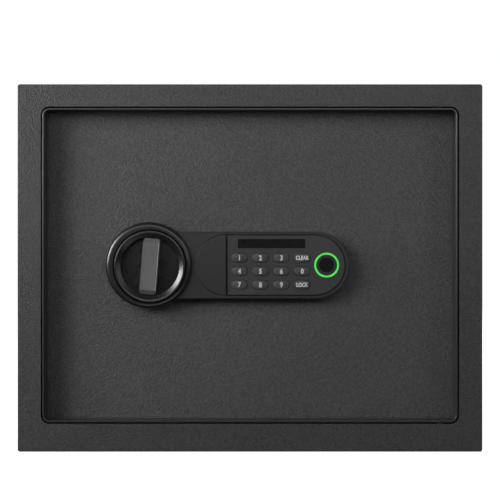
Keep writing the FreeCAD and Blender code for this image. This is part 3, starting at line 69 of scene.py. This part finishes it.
# Name, place, the point it faces, width, height, power and spread of each rectangular light.
LIGHTS = (
    ("key_left", (-1.55, -1.5, 0.85), (0.03, 0, 0.2), 0.9, 1.1, 3.1, 60),
    ("fill_right", (1.1, -0.8, 0.4), (0, 0, 0), 0.3, 1.0, 2.2, 180),
    ("front_strip", (0, -0.6, 0.24), (0, 0, 0.18), 0.8, 0.25, 1.2, 180),
    ("fill_below", (0.15, -1.1, -0.8), (0, 0, 0.2), 1.2, 0.5, 2.3, 180),
    ("gloss_left", (-1.0, -0.45, 0.3), (-0.1, 0, 0), 0.4, 0.5, 13, 180),
    ("back_soft", (0.9, 1.5, 1.2), (0, 0.05, 0), 1.2, 1.2, 15, 180),
)
# Lights that show only in reflections.
GLOSS_ONLY = {"gloss_left"}

# Satin case and its polished round bezel, and how far either side of the bezel's edge they blend.
CASE_ROUGHNESS = 0.4
BEZEL_ROUGHNESS = 0.26
BEZEL_BLEND = (-0.2 * MM, 0.4 * MM)

# Nodes whose paint differs from the rest of their slot: smoother on the rim, lighter and more
# grained on the door plate.
NODE_FINISH = {"door_rim": "rim_coat", "door_plate": "plate_coat"}

# Legends printed on the keys: body, text, letter height and width scale.
LEGENDS = [("key_" + digit, digit, 4.3 * MM, 0.86) for digit in "1234567890"]
LEGENDS += [("key_clear", "CLEAR", 3.5 * MM, 0.72), ("key_lock", "LOCK", 3.5 * MM, 0.74)]
CAPITAL_SHARE = 0.73  # a capital's height as a share of the font's size
LETTER_SPACING = 1.04
LETTER_SEGMENTS = 6  # straight pieces in each curve of a letter
LEGEND_BOLD = 0.2 * MM  # how much each stroke is thickened all round
LEGEND_LIFT = 0.04 * MM  # thickness of the ink over the key
LEGEND_EDGE = 0.6 * MM  # longest edge left, so that the ink follows the key's curve
LEGEND_SPLITS = 4
RAY_START = 10 * MM  # in front of the key


# ---------------------------------------------------------------- node helpers

class Surface:
    """One procedural material: a Principled shader and the nodes that feed it."""

    def __init__(self, name, color, roughness, **sockets):
        self.material = bpy.data.materials.new(name)
        self.material.use_nodes = True
        self.tree = self.material.node_tree
        self.shader = self.tree.nodes["Principled BSDF"]
        self.color = color
        self.shader.inputs["Base Color"].default_value = (*color, 1)
        self.shader.inputs["Roughness"].default_value = roughness
        for socket, value in sockets.items():
            self.shader.inputs[socket.replace("_", " ")].default_value = value
        self.place = self.add("ShaderNodeTexCoord").outputs["Object"]
        self.normal = None

    def add(self, kind, **inputs):
        """A new node with some of its inputs set."""
        made = self.tree.nodes.new(kind)
        for socket, value in inputs.items():
            made.inputs[socket.replace("_", " ")].default_value = value
        return made

    def link(self, source, target):
        self.tree.links.new(source, target)

    def stretched(self, scale):
        """The object's coordinates scaled by a vector, for grain that runs one way."""
        mapping = self.add("ShaderNodeMapping", Scale=scale)
        self.link(self.place, mapping.inputs["Vector"])
        return mapping.outputs["Vector"]

    def noise(self, size, detail=2, rough=0.5, place=None):
        """Noise whose features are about size metres across."""
        made = self.add("ShaderNodeTexNoise", Scale=1 / size, Detail=detail, Roughness=rough)
        self.link(place or self.place, made.inputs["Vector"])
        return made.outputs["Fac"]

    def cell_edges(self, size):
        """Distance to the nearest edge between cells about size metres across."""
        made = self.add("ShaderNodeTexVoronoi", Scale=1 / size)
        made.feature = "DISTANCE_TO_EDGE"
        self.link(self.place, made.inputs["Vector"])
        return made.outputs["Distance"]

    def bands(self, size, direction, distortion=0.0):
        """Smooth bands across one direction; size sets their width."""
        made = self.add("ShaderNodeTexWave", Scale=1 / size, Distortion=distortion)
        made.bands_direction = direction
        self.link(self.place, made.inputs["Vector"])
        return made.outputs["Fac"]

    def ranged(self, value, low, high, source=(0.3, 0.7)):
        """A value moved from the source range to run between low and high."""
        made = self.add("ShaderNodeMapRange")
        ends = ("From Min", "From Max", "To Min", "To Max")
        for socket, number in zip(ends, (*source, low, high)):
            made.inputs[socket].default_value = number
        self.link(value, made.inputs["Value"])
        return made.outputs["Result"]

    def away_from(self, x, z):
        """Distance from a line along Y, for finishes that differ round a centre."""
        moved, flat, length = (self.add("ShaderNodeVectorMath") for _ in range(3))
        moved.operation, flat.operation, length.operation = "SUBTRACT", "MULTIPLY", "LENGTH"
        moved.inputs[1].default_value = (x, 0, z)
        flat.inputs[1].default_value = (1, 0, 1)
        self.link(self.place, moved.inputs[0])
        self.link(moved.outputs["Vector"], flat.inputs[0])
        self.link(flat.outputs["Vector"], length.inputs[0])
        return length.outputs["Value"]

    def shaded(self, value, color, dark, light, span):
        """A colour that varies with a value between dark and light times the one given."""
        ramp = self.add("ShaderNodeValToRGB")
        for element, position, level in zip(ramp.color_ramp.elements, span, (dark, light)):
            element.position = position
            element.color = (*(min(1, part * level) for part in color), 1)
        self.link(value, ramp.inputs["Fac"])
        return ramp.outputs["Color"]

    def tint(self, value, dark, light, span=(0.3, 0.7)):
        """Varies the base colour with a value."""
        color = self.shaded(value, self.color, dark, light, span)
        self.link(color, self.shader.inputs["Base Color"])

    def blotch(self, first, second, share=0.5):
        """Two values mixed in one, so that one colour ramp can carry two sizes of detail."""
        mix = self.add("ShaderNodeMix")
        mix.inputs["Factor"].default_value = share
        self.link(first, mix.inputs["A"])
        self.link(second, mix.inputs["B"])
        return mix.outputs["Result"]

    def rough(self, value, low, high, source=(0.3, 0.7)):
        """Varies the roughness with a value."""
        self.link(self.ranged(value, low, high, source), self.shader.inputs["Roughness"])

    def bump(self, height, depth):
        """Adds relief of depth metres from a height value, over any relief already there."""
        made = self.add("ShaderNodeBump", Strength=1.0, Distance=depth)
        self.link(height, made.inputs["Height"])
        if self.normal is not None:
            self.link(self.normal, made.inputs["Normal"])
        self.normal = made.outputs["Normal"]
        self.link(self.normal, self.shader.inputs["Normal"])


# ------------------------------------------------------------------- materials

def powder_coat(name, color, peel, depth, roughness=0.5, tones=(0.66, 1.42)):
    """Cured powder paint: orange peel, a speckle of flow marks and a slow mottle."""
    surface = Surface(name, color, roughness)
    grain = surface.noise(peel, detail=1.5)
    mottle = surface.noise(60 * MM)
    surface.tint(surface.blotch(grain, mottle, 0.12), *tones, (0.36, 0.64))
    surface.rough(surface.noise(3 * MM), roughness * 0.92, roughness * 1.14)
    surface.bump(grain, depth)
    surface.bump(surface.noise(peel / 3), depth * 0.3)
    return surface


def moulded_plastic(name, color, roughness, grain_size, grain_depth):
    """Moulded ABS: spark-eroded grain, faint flow variation and slightly uneven gloss."""
    surface = Surface(name, color, roughness)
    grain = surface.noise(grain_size)
    flow = surface.noise(18 * MM, detail=3)
    surface.tint(surface.blotch(grain, flow), 0.9, 1.1)
    surface.rough(flow, roughness * 0.9, roughness * 1.12)
    surface.bump(grain, grain_depth)
    return surface


def case_plastic(name, color):
    """Satin moulding whose round bezel is polished: glossier than the face."""
    low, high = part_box("lock_case")
    radius = (high.z - low.z) / 2
    surface = Surface(name, color, CASE_ROUGHNESS)
    away = surface.away_from(low.x + radius, (low.z + high.z) / 2)
    grain, flow = surface.noise(0.7 * MM), surface.noise(18 * MM, detail=3)
    outside = surface.ranged(away, 0.0, 1.0, [radius + step for step in BEZEL_BLEND])
    surface.tint(surface.blotch(grain, flow), 0.9, 1.1)
    gloss = surface.blotch(outside, flow, 0.12)
    surface.rough(gloss, BEZEL_ROUGHNESS, CASE_ROUGHNESS, (0.05, 0.92))
    surface.bump(grain, 0.015 * MM)
    return surface


def brushed_metal(name, color, roughness, direction, depth=0.01 * MM):
    """Metal with fine lines along one direction and cloudy plating."""
    surface = Surface(name, color, roughness, Metallic=1.0)
    lines = surface.noise(0.35 * MM, detail=3, place=surface.stretched(direction))
    cloud = surface.noise(14 * MM, detail=3)
    surface.tint(surface.blotch(lines, cloud, 0.6), 0.8, 1.1)
    surface.rough(surface.blotch(lines, cloud), roughness * 0.75, roughness * 1.35)
    surface.bump(lines, depth)
    return surface


def lit_ring(name, color, glow):
    """Frosted diffuser over a row of lamps: brighter patches where the lamps sit."""
    surface = Surface(name, color, 0.45, Emission_Strength=glow)
    light = surface.shaded(surface.noise(5 * MM, detail=1), color, 0.84, 1.12, (0.35, 0.65))
    surface.link(light, surface.shader.inputs["Emission Color"])
    surface.tint(surface.noise(0.8 * MM), 0.25, 0.32)
    surface.bump(surface.noise(0.5 * MM), 0.02 * MM)
    return surface


def dark_lens(name, color, roughness, specular):
    """Tinted polycarbonate: smooth, with faint dust and a slow ripple from moulding."""
    surface = Surface(name, color, roughness, Specular_IOR_Level=specular)
    dust = surface.noise(0.7 * MM, detail=4, rough=0.7)
    surface.tint(dust, 0.8, 1.5, (0.45, 0.8))
    surface.rough(surface.noise(6 * MM), roughness * 0.85, roughness * 1.3)
    surface.bump(surface.noise(9 * MM), 0.02 * MM)
    return surface


def board_material(name, color):
    """Solder mask over copper tracks, with the tracks standing a little proud."""
    surface = Surface(name, color, 0.35, Coat_Weight=0.4)
    tracks = surface.cell_edges(4.5 * MM)
    surface.tint(surface.blotch(tracks, surface.noise(2 * MM), 0.35), 1.7, 0.8, (0.1, 0.3))
    surface.rough(surface.noise(1.2 * MM), 0.28, 0.45)
    surface.bump(tracks, 0.03 * MM)
    return surface


def wound_coil(name, color):
    """Turns of lacquered wire round an upright bobbin."""
    surface = Surface(name, color, 0.35, Metallic=0.7)
    turns = surface.bands(3.2 * MM, "Z", distortion=0.4)
    surface.tint(turns, 0.45, 1.2, (0.1, 0.8))
    surface.bump(turns, 0.15 * MM)
    return surface


def cell_sleeve(name, color):
    """Shrink sleeve on an alkaline cell: satin print in two bands with fine wrinkles."""
    surface = Surface(name, color, 0.32, Coat_Weight=0.5)
    print_bands = surface.bands(95 * MM, "X")
    surface.tint(surface.blotch(print_bands, surface.noise(1.5 * MM), 0.2), 0.3, 1.3, (0.42, 0.5))
    surface.rough(surface.noise(2.5 * MM), 0.26, 0.4)
    surface.bump(surface.noise(1.2 * MM, detail=3), 0.03 * MM)
    return surface


def ink(name, color):
    """White pad-printed ink with slight thin spots."""
    surface = Surface(name, color, 0.5)
    surface.tint(surface.noise(0.4 * MM, detail=3), 0.86, 1.04)
    surface.bump(surface.noise(0.25 * MM), 0.01 * MM)
    return surface


def make_materials():
    """One detailed material for each of the record's slots, and variants for two nodes."""
    along_x, along_z = (0.04, 1, 1), (1, 1, 0.04)
    paint = (0.041, 0.041, 0.0405)
    table = {
        "powder_coat": (powder_coat, paint, 1.5 * MM, 0.42 * MM),
        "plate_coat": (powder_coat, (0.0515, 0.0515, 0.051), 1.5 * MM, 0.75 * MM),
        "rim_coat": (powder_coat, paint, 1.5 * MM, 0.02 * MM, 0.3, (0.92, 1.08)),
        "inner_coat": (powder_coat, (0.06, 0.06, 0.062), 1.6 * MM, 0.08 * MM, 0.5, (0.85, 1.15)),
        "case_plastic": (case_plastic, (0.022, 0.022, 0.0235)),
        "knob_plastic": (moulded_plastic, (0.014, 0.014, 0.0158), 0.27, 0.9 * MM, 0.006 * MM),
        "grip_satin": (moulded_plastic, (0.152, 0.152, 0.153), 0.4, 0.5 * MM, 0.01 * MM),
        "face_plastic": (moulded_plastic, (0.029, 0.029, 0.0295), 0.5, 0.8 * MM, 0.02 * MM),
        "key_plastic": (moulded_plastic, (0.05, 0.05, 0.051), 0.42, 0.7 * MM, 0.015 * MM),
        "display_dark": (dark_lens, (0.0085, 0.0085, 0.009), 0.3, 0.15),
        "light_ring": (lit_ring, (0.07, 0.66, 0.09), 0.95),
        "sensor_bezel": (moulded_plastic, (0.014, 0.014, 0.015), 0.5, 0.6 * MM, 0.012 * MM),
        "sensor_dark": (dark_lens, (0.0085, 0.0085, 0.0095), 0.35, 0.15),
        "zinc_steel": (brushed_metal, (0.55, 0.56, 0.58), 0.34, along_x),
        "bolt_steel": (brushed_metal, (0.7, 0.7, 0.72), 0.2, along_z, 0.006 * MM),
        "bush_plastic": (moulded_plastic, (0.6, 0.6, 0.57), 0.4, 0.6 * MM, 0.01 * MM),
        "brass": (brushed_metal, (0.72, 0.53, 0.25), 0.24, along_x),
        "circuit_board": (board_material, (0.03, 0.16, 0.07)),
        "switch_body": (moulded_plastic, (0.03, 0.03, 0.03), 0.45, 0.5 * MM, 0.01 * MM),
        "coil_winding": (wound_coil, (0.62, 0.25, 0.09)),
        "tray_plastic": (moulded_plastic, (0.03, 0.03, 0.032), 0.5, 0.9 * MM, 0.03 * MM),
        "cell_can": (cell_sleeve, (0.2, 0.2, 0.21)),
        "reset_red": (moulded_plastic, (0.45, 0.03, 0.02), 0.35, 0.6 * MM, 0.01 * MM),
    }
    return {name: make(name, *looks) for name, (make, *looks) in table.items()}


def finish_cad_nodes(materials):
    """Gives every carried-over CAD node the detailed material of its slot."""
    for name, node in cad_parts.items():
        for place in node.material_slots:
            finish = NODE_FINISH.get(name, place.material.name.split(".")[0])
            place.material = materials[finish].material


# --------------------------------------------------------------------- legends

def surface_of(node_name):
    """A search tree over a CAD node's mesh, to lay printed marks on it."""
    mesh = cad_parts[node_name].data
    corners = [vertex.co for vertex in mesh.vertices]
    return BVHTree.FromPolygons(corners, [face.vertices for face in mesh.polygons])


def divide_long_edges(mesh):
    """Splits a flat mesh finely enough to follow a curved face."""
    shape = bmesh.new()
    shape.from_mesh(mesh)
    for _ in range(LEGEND_SPLITS):
        too_long = [edge for edge in shape.edges if edge.calc_length() > LEGEND_EDGE]
        bmesh.ops.subdivide_edges(shape, edges=too_long, cuts=1)
        bmesh.ops.triangulate(shape, faces=shape.faces)
    shape.to_mesh(mesh)
    shape.free()


def legend_outline(text, height, narrow):
    """A flat text mesh in the object's front plane, centred on the origin."""
    curve = bpy.data.curves.new("outline_" + text, "FONT")
    curve.body = text
    curve.size = height / CAPITAL_SHARE
    curve.offset = LEGEND_BOLD
    curve.space_character = LETTER_SPACING
    curve.resolution_u = LETTER_SEGMENTS
    typed = bpy.data.objects.new("outline_" + text, curve)
    bpy.context.scene.collection.objects.link(typed)
    bpy.context.view_layer.update()
    shown = typed.evaluated_get(bpy.context.evaluated_depsgraph_get())
    mesh = bpy.data.meshes.new_from_object(shown)
    bpy.data.objects.remove(typed)
    divide_long_edges(mesh)
    xs = [v.co.x for v in mesh.vertices]
    ys = [v.co.y for v in mesh.vertices]
    middle_x, middle_y = (min(xs) + max(xs)) / 2, (min(ys) + max(ys)) / 2
    for vertex in mesh.vertices:
        x, y, _ = vertex.co
        vertex.co = ((x - middle_x) * narrow, 0, y - middle_y)
    return mesh


def print_legend(body, text, height, narrow, material):
    """Lays one legend on the curved front of its key, riding with the key."""
    low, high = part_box(body)
    middle = (low + high) / 2
    key = surface_of(body)
    mesh = legend_outline(text, height, narrow)
    for vertex in mesh.vertices:
        x, z = vertex.co.x + middle.x, vertex.co.z + middle.z
        hit = key.ray_cast(Vector((x, low.y - RAY_START, z)), Vector((0, 1, 0)))[0]
        vertex.co = (x, (hit.y if hit else low.y) - LEGEND_LIFT, z)
    mesh.materials.clear()
    mesh.materials.append(material)
    printed = bpy.data.objects.new("legend_" + body, mesh)
    bpy.context.scene.collection.objects.link(printed)
    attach(printed, body)


# ---------------------------------------------------------------------- studio

def add_lights():
    """Soft rectangular lights, each turned to face its point and hidden from the camera."""
    for name, place, target, width, height, watts, spread in LIGHTS:
        data = bpy.data.lights.new(name, "AREA")
        data.spread = math.radians(spread)
        data.shape = "RECTANGLE"
        data.size = width
        data.size_y = height
        data.energy = watts
        lamp = bpy.data.objects.new(name, data)
        bpy.context.scene.collection.objects.link(lamp)
        lamp.location = place
        lamp.rotation_euler = (Vector(target) - Vector(place)).to_track_quat("-Z", "Y").to_euler()
        lamp.visible_camera = False
        lamp.visible_diffuse = name not in GLOSS_ONLY


def add_camera():
    """Straight on to the flange, wide enough for the photograph's margins."""
    data = bpy.data.cameras.new("camera")
    data.sensor_width = SENSOR_WIDTH
    data.lens = SENSOR_WIDTH * CAMERA_DISTANCE / VIEW_WIDTH
    data.clip_end = FAR_CLIP
    camera = bpy.data.objects.new("camera", data)
    bpy.context.scene.collection.objects.link(camera)
    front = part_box("front_flange")[0].y
    camera.location = (0, front - CAMERA_DISTANCE, CAMERA_HEIGHT)
    camera.rotation_euler = (math.pi / 2, 0, 0)
    bpy.context.scene.camera = camera


def add_floor():
    """A wide pale floor that the safe stands on. It shows to the camera only: it neither lights the
    object nor reflects in it."""
    half, low = FLOOR_HALF_WIDTH, CAD_BOX[0][2]
    mesh = bpy.data.meshes.new("floor")
    corners = [(-half, -half, low), (half, -half, low), (half, half, low), (-half, half, low)]
    mesh.from_pydata(corners, [], [(0, 1, 2, 3)])
    surface = Surface("floor", (0.9, 0.9, 0.9), 0.7)
    surface.tint(surface.noise(0.4), 0.99, 1.0)
    surface.shader.inputs["Emission Color"].default_value = WHITE
    surface.shader.inputs["Emission Strength"].default_value = FLOOR_GLOW
    mesh.materials.append(surface.material)
    floor = bpy.data.objects.new("floor", mesh)
    bpy.context.scene.collection.objects.link(floor)
    floor.visible_diffuse = False
    floor.visible_glossy = False


def add_world():
    """White backdrop to the camera, dimmer soft light from all round for the object."""
    world = bpy.data.worlds.new("studio")
    world.use_nodes = True
    bpy.context.scene.world = world
    nodes, links = world.node_tree.nodes, world.node_tree.links
    nodes.clear()
    shown, around = nodes.new("ShaderNodeBackground"), nodes.new("ShaderNodeBackground")
    for background, strength in ((shown, BACKDROP_GLOW), (around, AMBIENT)):
        background.inputs["Color"].default_value = WHITE
        background.inputs["Strength"].default_value = strength
    kinds = ("LightPath", "MixShader", "OutputWorld")
    path, mix, out = (nodes.new("ShaderNode" + kind) for kind in kinds)
    links.new(path.outputs["Is Camera Ray"], mix.inputs["Fac"])
    links.new(around.outputs["Background"], mix.inputs[1])
    links.new(shown.outputs["Background"], mix.inputs[2])
    links.new(mix.outputs["Shader"], out.inputs["Surface"])


def main():
    """Finishes the CAD nodes, prints the legends and builds the studio."""
    bpy.context.scene.view_settings.view_transform = "Standard"
    materials = make_materials()
    finish_cad_nodes(materials)
    white = ink("legend_ink", (0.8, 0.8, 0.79)).material
    for body, text, height, narrow in LEGENDS:
        print_legend(body, text, height, narrow, white)
    add_camera()
    add_floor()
    add_world()
    add_lights()


main()
